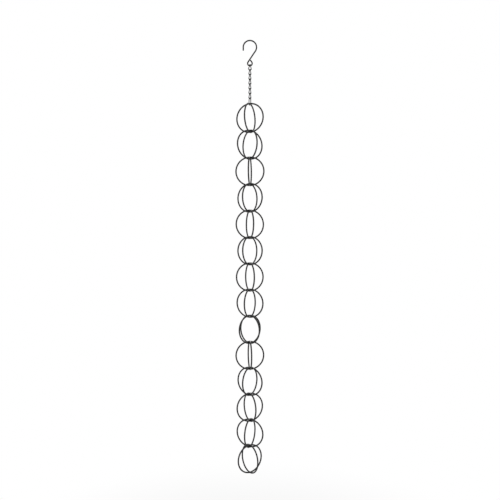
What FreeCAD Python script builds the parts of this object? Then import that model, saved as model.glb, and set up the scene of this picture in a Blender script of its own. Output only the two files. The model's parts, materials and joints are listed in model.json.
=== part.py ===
import FreeCAD, Part
import math
import os
import Sketcher

# A rain chain. Fourteen wire balls, each made of two crossed rings, hang one in the other below a
# short twisted chain and an open hook. Millimetres, +Z up. The origin is the inside of the hook's
# bend, where it rests on its hanger, and all pieces hang on the Z axis below it.

Vector = FreeCAD.Vector
Rotation = FreeCAD.Rotation
Placement = FreeCAD.Placement

RIGHT_ANGLE = 90.0

# a sketch's names for the points of a line or an arc, and for its own origin and axes
START, END, CENTRE = 1, 2, 3
ORIGIN = (-1, 1)
LEVEL, UPRIGHT = -1, -2

SIZES = (
    ("hook_wire", 3.7),  # thickness of the hook's wire
    ("bend_radius", 17.8),  # hook's bend, to the centre of the wire
    ("hook_drop", 42.8),  # from the bend's centre to the eye's centre
    ("eye_radius", 6.1),  # hook's eye, to the centre of the wire
    ("tip_length", 9.0),  # straight run at the hook's open end
    ("tip_round", 1.4),  # rounding of the hook's tip
    ("tip_flat", 0.3),  # flat left at the tip, at the least
    ("eye_gap", 0.3),  # between the eye's cut end and the shank
    ("chain_wire", 2.3),  # thickness of the links' wire
    ("link_length", 12.8),  # inside a twisted link, from end to end
    ("eye_room", 1.0),  # on each side of the hook's wire inside the first link
    ("link_room", 0.8),  # on each side of the next link's wire inside a link
    ("link_bend", 2.0),  # bends of a twisted link's legs, to the centre of the wire
    ("link_gap", 0.2),  # play where a link hangs on what carries it
    ("link_count", 7),  # twisted links
    ("chain_turn", 113.0),  # of the links' upper ends from the hook's plane
    ("joiner_length", 17.0),  # inside the joining link, from end to end
    ("joiner_room", 1.0),  # beside the crossed wires that the joining link straddles
    ("joiner_split", 0.4),  # opening in one leg of the joining link
    ("ring_diameter", 80.0),  # outside of a ball's larger ring
    ("ring_wire", 4.0),  # thickness of the rings' wire
    ("ring_step", 0.2),  # by which the smaller ring lies inside the larger one
    ("weld_radius", 3.1),  # weld where two rings cross
    ("weld_height", 1.7),  # weld's height along the ball's axis, less a little for its round side
    ("hang_gap", 0.3),  # play where a ball hangs on what carries it
    # turn of each ball past the one above it
    ("ball_02_turn", 52.0),
    ("ball_03_turn", 54.0),
    ("ball_04_turn", 65.0),
    ("ball_05_turn", 46.0),
    ("ball_06_turn", 45.0),
    ("ball_07_turn", 48.0),
    ("ball_08_turn", 49.0),
    ("ball_09_turn", 65.0),
    ("ball_10_turn", 55.0),
    ("ball_11_turn", 52.0),
    ("ball_12_turn", 56.0),
    ("ball_13_turn", 43.0),
    ("ball_14_turn", 56.0),
)

doc = FreeCAD.newDocument("rain_chain")
sheet = doc.addObject("Spreadsheet::Sheet", "sizes")
for row, (alias, value) in enumerate(SIZES, start=1):
    sheet.set(f"A{row}", alias)
    sheet.set(f"B{row}", str(value))
    sheet.setAlias(f"B{row}", alias)
doc.recompute()


def size(alias):
    return float(sheet.get(alias))


def bind(piece, **expressions):
    for name, expression in expressions.items():
        piece.setExpression(name, expression)


# Hook: one wire bent in the XZ plane. Its shank leans across the axis from the right of the bend to
# the left of the eye, and the eye closes back up to the shank.
BEND_DEPTH = "(sizes.bend_radius - sizes.hook_wire / 2)"
SHANK_LEAN = "asin((sizes.bend_radius + sizes.eye_radius) / sizes.hook_drop)"
CUT_END_REACH = (
    f"(sizes.hook_wire / 2 * (1 + cos(2 * {SHANK_LEAN})) + sizes.eye_gap) / sin(2 * {SHANK_LEAN})"
)
bend_z = size("hook_wire") / 2 - size("bend_radius")
eye_z = bend_z - size("hook_drop")
shank_lean = math.asin((size("bend_radius") + size("eye_radius")) / size("hook_drop"))


def origin_plane(body, role):
    return next(plane for plane in body.Origin.OriginFeatures if plane.Role == role)


def hook_path(body):
    path = body.newObject("Sketcher::SketchObject", "hook_path")
    path.AttachmentSupport = [(origin_plane(body, "XZ_Plane"), "")]
    path.MapMode = "FlatFace"

    bend, eye = size("bend_radius"), size("eye_radius")
    lean_x, lean_z = math.cos(shank_lean), math.sin(shank_lean)
    across = Vector(0, 0, 1)
    bend_start = Vector(-bend, bend_z, 0)
    bend_end = Vector(bend * lean_x, bend_z - bend * lean_z, 0)
    eye_start = Vector(-eye * lean_x, eye_z + eye * lean_z, 0)
    eye_end = Vector(eye * lean_x, eye_z + eye * lean_z, 0)
    cut_end = eye_end + Vector(-lean_z, lean_x, 0) * eye
    bend_circle = Part.Circle(Vector(0, bend_z, 0), across, bend)
    eye_circle = Part.Circle(Vector(0, eye_z, 0), across, eye)

    tip = path.addGeometry(Part.LineSegment(bend_start - Vector(0, size("tip_length"), 0), bend_start))
    arch = path.addGeometry(Part.ArcOfCircle(bend_circle, -shank_lean, math.pi))
    shank = path.addGeometry(Part.LineSegment(bend_end, eye_start))
    loop = path.addGeometry(
        Part.ArcOfCircle(eye_circle, math.pi - shank_lean, 2 * math.pi + shank_lean)
    )
    close = path.addGeometry(Part.LineSegment(eye_end, cut_end))

    path.addConstraint(
        [
            Sketcher.Constraint("Tangent", tip, END, arch, END),
            Sketcher.Constraint("Tangent", arch, START, shank, START),
            Sketcher.Constraint("Tangent", shank, END, loop, START),
            Sketcher.Constraint("Tangent", loop, END, close, START),
            Sketcher.Constraint("Vertical", tip),
            Sketcher.Constraint("PointOnObject", arch, CENTRE, UPRIGHT),
            Sketcher.Constraint("PointOnObject", loop, CENTRE, UPRIGHT),
            Sketcher.Constraint("Horizontal", loop, START, loop, END),
        ]
    )
    driven = (
        (Sketcher.Constraint("Radius", arch, bend), "sizes.bend_radius"),
        (Sketcher.Constraint("Radius", loop, eye), "sizes.eye_radius"),
        (Sketcher.Constraint("DistanceY", arch, CENTRE, *ORIGIN, -bend_z), BEND_DEPTH),
        (
            Sketcher.Constraint("DistanceY", loop, CENTRE, arch, CENTRE, bend_z - eye_z),
            "sizes.hook_drop",
        ),
        (Sketcher.Constraint("Distance", tip, size("tip_length")), "sizes.tip_length"),
        (
            Sketcher.Constraint("Distance", close, eye),
            f"sizes.eye_radius / tan({SHANK_LEAN}) - {CUT_END_REACH}",
        ),
    )
    for constraint, expression in driven:
        index = path.addConstraint(constraint)
        path.setExpression(f"Constraints[{index}]", expression)
    return path


def hook_section(body):
    section = body.newObject("Sketcher::SketchObject", "hook_section")
    section.AttachmentSupport = [(origin_plane(body, "XY_Plane"), "")]
    section.MapMode = "FlatFace"
    section.setExpression("AttachmentOffset.Base.z", f"-{BEND_DEPTH} - sizes.tip_length")

    middle = Vector(-size("bend_radius"), 0, 0)
    circle = section.addGeometry(Part.Circle(middle, Vector(0, 0, 1), size("hook_wire") / 2))
    section.addConstraint(Sketcher.Constraint("PointOnObject", circle, CENTRE, LEVEL))
    driven = (
        (
            Sketcher.Constraint("DistanceX", circle, CENTRE, *ORIGIN, size("bend_radius")),
            "sizes.bend_radius",
        ),
        (Sketcher.Constraint("Diameter", circle, size("hook_wire")), "sizes.hook_wire"),
    )
    for constraint, expression in driven:
        index = section.addConstraint(constraint)
        section.setExpression(f"Constraints[{index}]", expression)
    return section


def tip_edge(shape):
    # the rim of the wire's open end lies lower than all else on the left of the bend
    left = [edge for edge in shape.Edges if edge.CenterOfMass.x < -size("bend_radius") / 2]
    lowest = min(left, key=lambda edge: edge.CenterOfMass.z)
    return f"Edge{[edge.isSame(lowest) for edge in shape.Edges].index(True) + 1}"


def make_hook():
    body = doc.addObject("PartDesign::Body", "hook")
    path = hook_path(body)
    wire = body.newObject("PartDesign::AdditivePipe", "hook_wire_run")
    wire.Profile = hook_section(body)
    wire.Spine = path
    doc.recompute()
    rounding = body.newObject("PartDesign::Fillet", "hook_tip")
    rounding.Base = (wire, [tip_edge(wire.Shape)])
    bind(rounding, Radius="min(sizes.tip_round; (sizes.hook_wire - sizes.tip_flat) / 2)")
    body.Tip = rounding
    return body


# Links: round wire swept along straight runs and tangent arcs. The wire's centre lines at the two
# ends of a link lie as far apart as its inner length and one wire. The first link is wider than the
# rest, because the hook's wire is thicker than the chain's.
first_radius = (size("hook_wire") + size("chain_wire")) / 2 + size("eye_room")
link_radius = size("chain_wire") + size("link_room")
joiner_radius = max(
    ((size("ring_wire") + size("chain_wire")) / 2 + size("joiner_room")) * math.sqrt(2),
    size("weld_radius") + size("chain_wire") / 2 + size("joiner_room"),
)


def sweep_wire(name, edges):
    """A run of the chain's wire along edges that meet smoothly."""
    path = doc.addObject("Part::Feature", f"{name}_path")
    path.Shape = Part.Wire(edges)
    section = doc.addObject("Part::Circle", f"{name}_section")
    bind(section, Radius="sizes.chain_wire / 2")
    first = edges[0]
    heading = first.tangentAt(first.FirstParameter)
    section.Placement = Placement(first.Vertexes[0].Point, Rotation(Vector(0, 0, 1), heading))
    run = doc.addObject("Part::Sweep", name)
    run.Sections = [section]
    run.Spine = (path, [f"Edge{number}" for number in range(1, len(edges) + 1)])
    run.Solid = True
    return run


def twisted_leg(side, radius):
    """Half a twisted link, from the middle of its upper end to the middle of its lower end."""
    bend = size("link_bend")
    rise = (size("link_length") + size("chain_wire")) / 2 - radius
    upper = Vector(side * radius, 0, rise)
    lower = Vector(0, side * radius, -rise)
    outward = Vector(side, 0, 0)
    inward = Vector(0, -side, 0)

    # the leg leans in the upright plane through its two ends: a bend, a straight run, a bend back
    across = Vector(lower.x - upper.x, lower.y - upper.y, 0)
    shift = across.Length - 2 * bend
    across.normalize()
    lean = math.atan2(shift, 2 * rise) + math.asin(2 * bend / math.hypot(2 * rise, shift))

    def bent(angle):
        return across * (bend - bend * math.cos(angle)) - Vector(0, 0, bend * math.sin(angle))

    run_start = upper + bent(lean)
    run_end = lower - bent(lean)
    crown = radius * math.sin(math.pi / 4)
    top = Vector(0, 0, rise + radius)
    bottom = Vector(0, 0, -rise - radius)
    return [
        Part.Arc(top, Vector(0, 0, rise + crown) + outward * crown, upper).toShape(),
        Part.Arc(upper, upper + bent(lean / 2), run_start).toShape(),
        Part.LineSegment(run_start, run_end).toShape(),
        Part.Arc(run_end, lower - bent(lean / 2), lower).toShape(),
        Part.Arc(lower, Vector(0, 0, -rise - crown) - inward * crown, bottom).toShape(),
    ]


def make_twisted_link(name, radius):
    link = doc.addObject("Part::Fuse", name)
    link.Base = sweep_wire(f"{name}_right", twisted_leg(1, radius))
    link.Tool = sweep_wire(f"{name}_left", twisted_leg(-1, radius))
    link.Refine = True
    return link


def make_joining_link(name):
    radius, split = joiner_radius, size("joiner_split")
    rise = (size("joiner_length") + size("chain_wire")) / 2 - radius
    crown = Vector(0, 0, radius)
    right = Vector(radius, 0, 0)
    upper = Vector(0, 0, rise)
    lower = Vector(0, 0, -rise)
    cut = Vector(0, 0, split / 2)
    return sweep_wire(
        name,
        [
            Part.LineSegment(right + cut, right + upper).toShape(),
            Part.Arc(right + upper, upper + crown, upper - right).toShape(),
            Part.LineSegment(upper - right, lower - right).toShape(),
            Part.Arc(lower - right, lower - crown, lower + right).toShape(),
            Part.LineSegment(lower + right, right - cut).toShape(),
        ],
    )


# Balls: two rings of round wire at right angles, welded where they cross above and below.
RING_RADIUS = "(sizes.ring_diameter - sizes.ring_wire) / 2"
inner_radius = (size("ring_diameter") - size("ring_wire")) / 2 - size("ring_step")


def make_ring(name, turn, radius):
    ring = doc.addObject("Part::Torus", name)
    bind(ring, Radius1=radius, Radius2="sizes.ring_wire / 2")
    ring.Placement.Rotation = Rotation(Vector(0, 0, 1), turn) * Rotation(Vector(1, 0, 0), RIGHT_ANGLE)
    return ring


def make_weld(name, side):
    weld = doc.addObject("Part::Sphere", name)
    latitude = "atan(sizes.weld_height / (2 * sizes.weld_radius))"
    bind(weld, Radius="sizes.weld_radius", Angle1=f"-{latitude}", Angle2=latitude)
    weld.setExpression("Placement.Base.z", f"{side} * ({RING_RADIUS} - sizes.ring_step / 2)")
    return weld


def make_ball(name):
    ball = doc.addObject("Part::MultiFuse", name)
    ball.Shapes = [
        make_ring(f"{name}_outer_ring", 0, RING_RADIUS),
        make_ring(f"{name}_inner_ring", RIGHT_ANGLE, f"{RING_RADIUS} - sizes.ring_step"),
        make_weld(f"{name}_top_weld", 1),
        make_weld(f"{name}_bottom_weld", -1),
    ]
    return ball


def ball_spacing(turn):
    """Height between two balls' centres when the lower one is turned by turn in the upper one.

    Its inner ring rests on the upper one's at the weld. Wires that cross at a narrow angle touch
    beside the weld instead, and hold the lower ball higher.
    """
    thick = size("ring_wire") + size("hang_gap")
    crossing = RIGHT_ANGLE / 2 - abs(turn % RIGHT_ANGLE - RIGHT_ANGLE / 2)
    spread = math.sin(math.radians(crossing) / 2) ** 2
    lift = thick
    if 2 * spread * inner_radius < thick:
        lift = (thick**2 / spread + 4 * spread * inner_radius**2) / (4 * inner_radius)
    return 2 * inner_radius - lift


def hang(piece, height, turn):
    piece.Placement = Placement(Vector(0, 0, height), Rotation(Vector(0, 0, 1), turn))


pieces = [make_hook()]

# each twisted link hangs on the wire below the one above, the first of them in the hook's eye
chain_turn = size("chain_turn")
seat = eye_z - size("eye_radius") + size("hook_wire") / 2
for number in range(1, int(size("link_count")) + 1):
    link = make_twisted_link(f"chain_link_{number}", first_radius if number == 1 else link_radius)
    hang(link, seat + size("link_gap") - size("link_length") / 2, chain_turn)
    seat += size("link_gap") - size("link_length")
    pieces.append(link)

joiner = make_joining_link("joining_link")
hang(joiner, seat + size("link_gap") - size("joiner_length") / 2, chain_turn)
seat += size("link_gap") - size("joiner_length")
pieces.append(joiner)

# the joining link straddles the crossing of the first ball's rings, half way between them
turn = chain_turn + RIGHT_ANGLE / 2
height = seat + size("hang_gap") + size("ring_wire") / 2 - inner_radius
turn_aliases = [alias for alias, value in SIZES if alias.startswith("ball_")]
ball = make_ball("ball_01")
hang(ball, height, turn)
pieces.append(ball)
for alias in turn_aliases:
    turn += size(alias)
    height -= ball_spacing(size(alias))
    ball = make_ball(alias.removesuffix("_turn"))
    hang(ball, height, turn)
    pieces.append(ball)

doc.recompute()

for thing in doc.Objects:
    if "Invalid" in thing.State or "Error" in thing.State:
        raise RuntimeError(f"{thing.Label} did not build: {thing.State}")
for piece in pieces:
    if piece.Shape.isNull() or not piece.Shape.isValid():
        raise RuntimeError(f"{piece.Label} has no valid shape")
    if len(piece.Shape.Solids) != 1:
        raise RuntimeError(f"{piece.Label} is not one solid")

os.makedirs("parts", exist_ok=True)
for piece in pieces:
    piece.Shape.exportStep(f"parts/{piece.Label}.step")
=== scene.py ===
import json
import math

import bpy
from mathutils import Matrix, Vector


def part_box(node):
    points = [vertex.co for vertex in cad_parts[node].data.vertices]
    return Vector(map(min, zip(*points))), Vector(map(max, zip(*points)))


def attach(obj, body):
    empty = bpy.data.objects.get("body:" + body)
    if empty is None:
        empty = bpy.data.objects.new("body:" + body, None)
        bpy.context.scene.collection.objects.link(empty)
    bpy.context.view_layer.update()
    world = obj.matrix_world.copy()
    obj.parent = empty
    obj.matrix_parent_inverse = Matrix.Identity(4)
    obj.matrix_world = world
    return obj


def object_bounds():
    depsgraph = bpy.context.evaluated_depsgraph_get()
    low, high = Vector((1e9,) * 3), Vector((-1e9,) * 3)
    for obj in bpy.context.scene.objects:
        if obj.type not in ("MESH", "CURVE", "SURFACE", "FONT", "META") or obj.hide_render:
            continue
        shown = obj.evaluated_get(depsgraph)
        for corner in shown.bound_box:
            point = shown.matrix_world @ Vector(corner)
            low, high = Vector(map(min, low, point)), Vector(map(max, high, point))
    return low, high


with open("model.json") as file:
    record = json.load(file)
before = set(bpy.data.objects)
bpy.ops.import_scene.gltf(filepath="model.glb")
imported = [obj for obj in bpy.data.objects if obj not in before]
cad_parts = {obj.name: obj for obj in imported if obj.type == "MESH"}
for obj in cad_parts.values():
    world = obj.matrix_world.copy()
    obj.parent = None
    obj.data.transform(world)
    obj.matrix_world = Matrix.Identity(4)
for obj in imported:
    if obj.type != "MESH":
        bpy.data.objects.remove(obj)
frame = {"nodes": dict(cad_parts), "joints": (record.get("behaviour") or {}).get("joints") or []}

# a rain chain: fourteen wire balls on a short twisted chain and a hook, all coated satin black
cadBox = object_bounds()
nodes = frame["nodes"]
linkNames = sorted(name for name in nodes if name.startswith("chain_link_"))
ballNames = sorted(name for name in nodes if name.startswith("ball_"))
scene = bpy.context.scene
print("frame loaded,", len(nodes), "pieces")

# camera: in front of the hook's plane, at half the chain's height, and turned down a little
cameraLook = {
    "sensor": 36.0,
    "focal": 560.0,  # in pixels of the photograph
    "frame": 500.0,
    "aim": 275.0,  # row that the lens looks at
    "down": 2.0,  # degrees below level
    "axis": 249.9,  # column of the balls' axis
    "top": 39.8,  # row of the hook's top
    "bottom": 473.0,  # row of the last ball's bottom
}


def placeCamera(look):
    top, bottom = cadBox[1].z, cadBox[0].z
    middle = look["frame"] / 2
    down = math.radians(look["down"])
    rise = math.tan(math.atan((look["aim"] - look["top"]) / look["focal"]) - down)
    drop = math.tan(math.atan((look["bottom"] - look["aim"]) / look["focal"]) + down)
    away = (top - bottom) / (rise + drop)
    across = (middle - look["axis"]) * away / look["focal"]
    bpy.ops.object.camera_add(
        location=(across, -away, top - away * rise),
        rotation=(math.pi / 2 - down, 0, 0),
    )
    camera = bpy.context.object
    camera.name = "photoCamera"
    camera.data.sensor_width = look["sensor"]
    camera.data.lens = look["sensor"] * look["focal"] / look["frame"]
    camera.data.shift_y = (look["aim"] - middle) / look["frame"]
    scene.camera = camera
    print("camera", round(away, 3), "m away, lens", round(camera.data.lens, 1))


placeCamera(cameraLook)


class Wired:
    # a socket of a node tree; Python's operators add Math nodes to it

    def __init__(self, tree, socket=None):
        self.tree = tree
        self.socket = socket

    def node(self, kind, settings=None, inputs=None, output=0):
        made = self.tree.nodes.new("ShaderNode" + kind)
        for name, value in (settings or {}).items():
            setattr(made, name, value)
        for name, value in (inputs or {}).items():
            if isinstance(value, Wired):
                self.tree.links.new(value.socket, made.inputs[name])
            else:
                made.inputs[name].default_value = value
        return Wired(self.tree, made.outputs[output]) if made.outputs else None

    def out(self, name):
        return Wired(self.tree, self.socket.node.outputs[name])

    def maths(self, operation, first, second):
        return self.node("Math", {"operation": operation}, {0: first, 1: second})

    def fade(self, start, end):
        # 0 at start, 1 at end, eased between them
        return self.node(
            "MapRange",
            {"interpolation_type": "SMOOTHSTEP"},
            {"Value": self, "From Min": start, "From Max": end},
        )

    def noise(self, scale, detail, rough=0.5):
        return self.node(
            "TexNoise", None, {"Vector": self, "Scale": scale, "Detail": detail, "Roughness": rough}
        )

    def fromAxis(self):
        # how far a place is from the chain's axis
        x = self.node("SeparateXYZ", None, {0: self})
        y = x.out("Y")
        return (x * x + y * y) ** 0.5

    def blend(self, first, second):
        return self.node("Mix", {"data_type": "RGBA"}, {0: self, 6: first, 7: second}, output=2)

    def __add__(self, other):
        return self.maths("ADD", self, other)

    def __radd__(self, other):
        return self.maths("ADD", other, self)

    def __sub__(self, other):
        return self.maths("SUBTRACT", self, other)

    def __rsub__(self, other):
        return self.maths("SUBTRACT", other, self)

    def __mul__(self, other):
        return self.maths("MULTIPLY", self, other)

    def __rmul__(self, other):
        return self.maths("MULTIPLY", other, self)

    def __pow__(self, other):
        return self.maths("POWER", self, other)


def emptyTree(owner):
    owner.use_nodes = True
    owner.node_tree.nodes.clear()
    return Wired(owner.node_tree)


# black coat on wire: orange peel, mottled sheen, and rubbed spots where a piece hangs in the next
def blackCoat(name, look, firstRub, lastRub, rubSpacing):
    paint = bpy.data.materials.new(name)
    start = emptyTree(paint)
    place = start.node("TexCoord", output="Object")
    z = start.node("SeparateXYZ", None, {0: place}, output="Z")

    peel = place.noise(look["peelScale"], look["peelDetail"])
    pits = place.noise(look["pitScale"], look["pitDetail"]).fade(*look["pitEdge"])
    mottle = place.noise(look["mottleScale"], *look["mottleDetail"]).fade(*look["mottleEdge"])
    ragged = place.noise(look["ragScale"], *look["ragDetail"]).fade(*look["ragEdge"])

    # rubbed spots: on the axis, one at each hanging point and none below the last
    fromRub = start.maths("PINGPONG", z - firstRub, rubSpacing / 2)
    rub = place.fromAxis().fade(look["rubReach"], look["rubReach"] * look["rubCore"])
    rub = rub * fromRub.fade(look["rubDepth"], look["rubDepth"] * look["rubCore"]) * ragged
    rub = rub * z.fade(lastRub - 2 * look["rubDepth"], lastRub - look["rubDepth"])

    colour = mottle.blend(look["deep"], look["faded"])
    colour = (rub * look["rubShow"]).blend(colour, look["bare"])
    height = peel * look["peelHeight"] - pits * look["pitDepth"] - rub * look["coatThick"]
    bump = start.node("Bump", None, {"Strength": 1.0, "Distance": 1.0, "Height": height})
    shader = start.node(
        "BsdfPrincipled",
        None,
        {
            "Base Color": colour,
            "Roughness": look["rough"] + mottle * look["roughSpread"] - rub * look["rubPolish"],
            "Metallic": rub * look["rubShow"],
            "Normal": bump,
            "Specular IOR Level": look["gloss"],
        },
    )
    start.node("OutputMaterial", None, {"Surface": shader})
    return paint


wireCoat = {
    "deep": (0.004, 0.004, 0.0044, 1),
    "faded": (0.011, 0.0105, 0.0105, 1),
    "bare": (0.23, 0.22, 0.21, 1),
    "peelScale": 780.0,
    "peelDetail": 1.5,
    "peelHeight": 0.00016,
    "pitScale": 1500.0,
    "pitDetail": 1.0,
    "pitEdge": (0.66, 0.74),
    "pitDepth": 0.00006,
    "mottleScale": 70.0,
    "mottleDetail": (4.0, 0.6),  # detail of the noise and how rough it is
    "mottleEdge": (0.3, 0.7),
    "ragScale": 900.0,
    "ragDetail": (3.0, 0.6),
    "ragEdge": (0.28, 0.62),
    "rough": 0.30,
    "roughSpread": 0.16,
    "rubReach": 0.0060,  # from the axis
    "rubDepth": 0.0018,
    "rubCore": 0.33,  # share that is rubbed through
    "rubShow": 0.75,
    "rubPolish": 0.1,
    "coatThick": 0.00003,
    "gloss": 0.22,
}
chainCoat = {
    **wireCoat,
    "deep": (0.005, 0.005, 0.0054, 1),
    "faded": (0.014, 0.0135, 0.0135, 1),
    "peelScale": 1000.0,
    "peelHeight": 0.00011,
    "mottleScale": 160.0,
    "rough": 0.28,
    "rubReach": 0.0036,
    "rubDepth": 0.0014,
}
weldCoat = {
    **wireCoat,
    "peelScale": 1300.0,
    "mottleScale": 400.0,
    "rough": 0.28,
    "roughSpread": 0.22,
}


def paintPieces():
    hinge = {joint["child"]: joint["pos_m"][2] for joint in frame["joints"]}
    ballSpacing = hinge["ball_02"] - hinge["ball_03"]
    linkTops = [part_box(name)[1].z for name in linkNames[:2]]
    eyeSeat = (hinge["chain_link_1"] + linkTops[0]) / 2
    linkSpacing = linkTops[0] - linkTops[1]
    hookPaint = blackCoat("hookCoat", wireCoat, 0.0, eyeSeat, -eyeSeat)
    chainPaint = blackCoat("chainCoat", chainCoat, eyeSeat, hinge["ball_01"], linkSpacing)
    ballPaint = blackCoat("ballCoat", wireCoat, hinge["ball_02"], hinge[ballNames[-1]], ballSpacing)
    for name, node in nodes.items():
        paint = ballPaint if name in ballNames else chainPaint
        node.material_slots[0].material = hookPaint if name == "hook" else paint
    return chainPaint


chainPaint = paintPieces()
# nothing hangs on the welds' beads, so their last rub is at the hook's seat, far above them
weldPaint = blackCoat("weldCoat", weldCoat, firstRub=0.0, lastRub=0.0, rubSpacing=10.0)
print("coats on", len(nodes), "pieces")


def startPiece():
    bpy.ops.object.select_all(action="DESELECT")
    bpy.context.view_layer.objects.active = None


def applyAll(piece):
    bpy.context.view_layer.objects.active = piece
    for modifier in list(piece.modifiers):
        bpy.ops.object.modifier_apply(modifier=modifier.name)


def roughen(piece, size, height):
    clouds = bpy.data.textures.new(piece.name + "Lumps", "CLOUDS")
    clouds.noise_scale = size
    clouds.noise_depth = 1
    lumps = piece.modifiers.new("lumps", "DISPLACE")
    lumps.texture = clouds
    lumps.texture_coords = "LOCAL"
    lumps.strength = height
    lumps.mid_level = 0.5  # as far in as out


def copyPiece(pattern, name, place, paint):
    piece = bpy.data.objects.new(name, pattern.data.copy())
    piece.data.transform(place)
    piece.data.materials.clear()
    piece.data.materials.append(paint)
    scene.collection.objects.link(piece)
    return piece


# weld at a ball's pole: a star of melted wire in the crossing, with a bead run into each of its corners
weldLook = {
    "wire": 0.0040,  # thickness of the rings' wire
    "ring": 0.0379,  # rings to the centre of the wire
    "step": 0.0001,  # half the step between the two rings
    "arm": 0.0052,  # reach of the melted wire from the ball's axis
    "armFacets": (300, 24),  # along a whole ring and round its wire
    "bead": 0.0015,
    "beadFineness": 3,
    "corner": 0.0031,  # from the ball's axis to the middle of a bead
    "beadFlat": 0.85,  # height of a bead for its width
    "beadSpread": (0.14, 2.3, 0.7),  # no two beads are alike: share, step, start
    "outward": 0.00015,  # beads lie nearer to the outside of the ball
    "voxel": 0.00025,
    "flow": (0.5, 40),  # smoothing and its rounds
    "lumpSize": 0.0011,
    "lumpHeight": 0.0002,
    "inLink": 0.8,  # size of the first weld, which hangs inside the joining link
    "firstTurn": 158.0,
    "turns": (0, 52, 54, 65, 46, 45, 48, 49, 65, 55, 52, 56, 43, 56),  # of each ball in the one above
    # turns that only vary the beads: from ball to ball at the top, and from top to bottom
    "upperVary": 90,
    "lowerVary": 180,
}


def makeArm(look, turn):
    startPiece()
    ringFacets, wireFacets = look["armFacets"]
    bpy.ops.mesh.primitive_torus_add(
        major_radius=look["ring"],
        minor_radius=look["wire"] / 2,
        major_segments=ringFacets,
        minor_segments=wireFacets,
        location=(0, 0, -look["ring"] - look["step"]),
        rotation=(math.pi / 2, 0, turn),
    )
    bpy.ops.object.transform_apply(location=True, rotation=True, scale=True)
    along = Vector((math.cos(turn), math.sin(turn), 0))
    cuts = [(along * look["arm"], along), (-along * look["arm"], -along)]
    cuts.append((Vector((0, 0, -look["ring"])), Vector((0, 0, -1))))
    bpy.ops.object.mode_set(mode="EDIT")
    for place, facing in cuts:
        bpy.ops.mesh.select_all(action="SELECT")
        bpy.ops.mesh.bisect(plane_co=place, plane_no=facing, clear_outer=True, use_fill=True)
    bpy.ops.object.mode_set(mode="OBJECT")
    return bpy.context.object


def makeWeld(look):
    arms = [makeArm(look, turn) for turn in (0, math.pi / 2)]
    for arm in arms:
        arm.select_set(True)
    bpy.ops.object.join()
    weld = bpy.context.object
    weld.name = "ballWeld"
    share, step, first = look["beadSpread"]
    bpy.ops.object.mode_set(mode="EDIT")
    for corner in range(4):
        angle = math.radians(45 + 90 * corner)  # half way between two arms
        spread = 1 + share * math.sin(step * corner + first)
        middle = Vector((math.cos(angle), math.sin(angle), 0)) * look["corner"]
        middle.z = look["outward"]
        bpy.ops.mesh.select_all(action="DESELECT")
        bpy.ops.mesh.primitive_ico_sphere_add(
            subdivisions=look["beadFineness"], radius=look["bead"] * spread, location=middle
        )
        bpy.ops.transform.resize(value=(1, 1, look["beadFlat"]), center_override=middle)
    bpy.ops.object.mode_set(mode="OBJECT")

    skin = weld.modifiers.new("skin", "REMESH")
    skin.mode = "VOXEL"
    skin.voxel_size = look["voxel"]
    flow = weld.modifiers.new("flow", "SMOOTH")
    flow.factor, flow.iterations = look["flow"]
    roughen(weld, look["lumpSize"], look["lumpHeight"])
    applyAll(weld)
    bpy.ops.object.shade_smooth()
    return weld


def weldBalls(look):
    pattern = makeWeld(look)
    turn = look["firstTurn"]
    for number, name in enumerate(ballNames):
        turn += look["turns"][number]
        low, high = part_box(name)
        size = 1.0 if number else look["inLink"]
        upper = (
            Matrix.Translation((0, 0, high.z - look["wire"] / 2))
            @ Matrix.Rotation(math.radians(turn + look["upperVary"] * number), 4, "Z")
            @ Matrix.Scale(size, 4)
        )
        lower = (
            Matrix.Translation((0, 0, low.z + look["wire"] / 2))
            @ Matrix.Rotation(math.radians(turn + look["lowerVary"]), 4, "Z")
            @ Matrix.Rotation(math.pi, 4, "X")
        )
        weldsName = "ballWelds" + name[-2:]
        startPiece()
        for place in (upper, lower):
            welds = copyPiece(pattern, weldsName, place, weldPaint)
            welds.select_set(True)
            bpy.context.view_layer.objects.active = welds
        bpy.ops.object.join()
        welds.name = weldsName  # the second copy came with a number added
        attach(welds, name)
    bpy.data.objects.remove(pattern)
    print("welds on", len(ballNames), "balls,", len(welds.data.polygons), "faces each")


weldBalls(weldLook)

# seam of a twisted link: the swollen ring where its wire was closed, half way down one leg
seamLook = {
    "thick": 0.00132,
    "length": 0.0012,
    "turn": 113.0,  # of the links' upper ends
    # first link and the rest: half width to the wire's centre, lean of the legs at half height
    "legs": ((0.0040, 46.4), (0.0031, 29.2)),
    "facets": (24, 14),  # round the wire and along it
    "lumpSize": 0.0007,
    "lumpHeight": 0.00016,
}


def makeSeam(look):
    startPiece()
    around, along = look["facets"]
    bpy.ops.mesh.primitive_uv_sphere_add(segments=around, ring_count=along, radius=look["thick"])
    seam = bpy.context.object
    seam.name = "linkSeam"
    bpy.ops.object.mode_set(mode="EDIT")
    bpy.ops.transform.resize(value=(1, 1, look["length"] / look["thick"]), center_override=(0, 0, 0))
    bpy.ops.object.mode_set(mode="OBJECT")
    roughen(seam, look["lumpSize"], look["lumpHeight"])
    applyAll(seam)
    bpy.ops.object.shade_smooth()
    return seam


def seamLinks(look):
    pattern = makeSeam(look)
    for number, name in enumerate(linkNames):
        low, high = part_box(name)
        side = 1 if number % 2 else -1
        reach, lean = look["legs"][min(number, 1)]
        lean = math.radians(lean)
        across = Vector((-1, 1, 0)).normalized() * side
        leg = across * math.sin(lean) - Vector((0, 0, math.cos(lean)))
        middle = Vector((side, side, 0)) * reach / 2
        place = (
            Matrix.Translation((0, 0, (low.z + high.z) / 2))
            @ Matrix.Rotation(math.radians(look["turn"]), 4, "Z")
            @ Matrix.Translation(middle)
            @ leg.to_track_quat("Z", "Y").to_matrix().to_4x4()
        )
        seam = copyPiece(pattern, "linkSeam" + str(number + 1), place, chainPaint)
        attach(seam, name)
    bpy.data.objects.remove(pattern)
    print("seams on", len(linkNames), "links")


seamLinks(seamLook)

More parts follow.
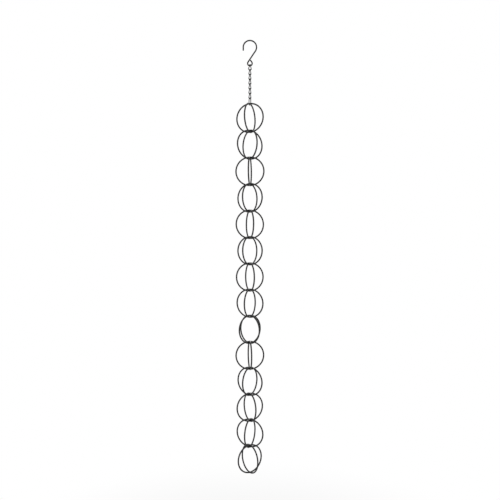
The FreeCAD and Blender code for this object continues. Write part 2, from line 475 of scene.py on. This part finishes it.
# studio: pale floor below the hanging chain, white behind it, three soft lamps
studioLook = {
    "floorBelow": 0.30,
    "floorSpan": 30.0,
    "floorPaint": (0.86, 0.86, 0.86, 1),
    "floorWhite": (0.8, 1.0),  # how far the floor is shown as plain white, under the chain and far off
    "floorFade": (0.25, 0.95),  # from the chain's axis
    "white": (1, 1, 1, 1),
    "whiteStrength": 1.0,  # shown as plain white
    "skyLight": 0.36,
    "lamps": (
        # place, size, power
        ((-1.5, -1.7, 0.35), (0.6, 1.9), 26.0),
        ((1.9, -1.2, -0.4), (0.5, 1.9), 11.0),
        ((0.5, 1.9, 0.2), (0.7, 1.6), 11.0),
    ),
}


def seenWhite(start):
    path = start.node("LightPath", output="Is Camera Ray")
    seen = start.maths("MAXIMUM", path, path.out("Is Glossy Ray"))
    return start.maths("MAXIMUM", seen, path.out("Is Transmission Ray"))


def makeStudio(look):
    floorHeight = cadBox[0].z - look["floorBelow"]
    startPiece()
    bpy.ops.mesh.primitive_plane_add(size=look["floorSpan"], location=(0, 0, floorHeight))
    floor = bpy.context.object
    floor.name = "studioFloor"
    bpy.ops.object.transform_apply(location=True, rotation=True, scale=True)
    paint = bpy.data.materials.new("floorPaint")
    start = emptyTree(paint)
    matt = start.node("BsdfDiffuse", None, {"Color": look["floorPaint"]})
    glow = start.node("Emission", None, {"Color": look["white"], "Strength": look["whiteStrength"]})
    away = start.node("TexCoord", output="Object").fromAxis().fade(*look["floorFade"])
    near, far = look["floorWhite"]
    white = seenWhite(start) * (near + (far - near) * away)
    shown = start.node("MixShader", None, {0: white, 1: matt, 2: glow})
    start.node("OutputMaterial", None, {"Surface": shown})
    floor.data.materials.append(paint)

    world = bpy.data.worlds.new("studioWhite")
    scene.world = world
    start = emptyTree(world)
    soft, plain = (
        start.node("Background", None, {"Color": look["white"], "Strength": strength})
        for strength in (look["skyLight"], look["whiteStrength"])
    )
    sky = start.node("MixShader", None, {0: seenWhite(start), 1: soft, 2: plain})
    start.node("OutputWorld", None, {"Surface": sky})

    aim = (cadBox[0] + cadBox[1]) / 2
    for number, (place, size, power) in enumerate(look["lamps"]):
        facing = (aim - Vector(place)).to_track_quat("-Z", "Y").to_euler()
        bpy.ops.object.light_add(type="AREA", location=place, rotation=facing)
        lamp = bpy.context.object
        lamp.name = "softLamp" + str(number + 1)
        lamp.data.shape = "RECTANGLE"
        lamp.data.size, lamp.data.size_y = size
        lamp.data.energy = power
    scene.view_settings.view_transform = "Standard"
    print("studio ready,", len(look["lamps"]), "lamps")


makeStudio(studioLook)
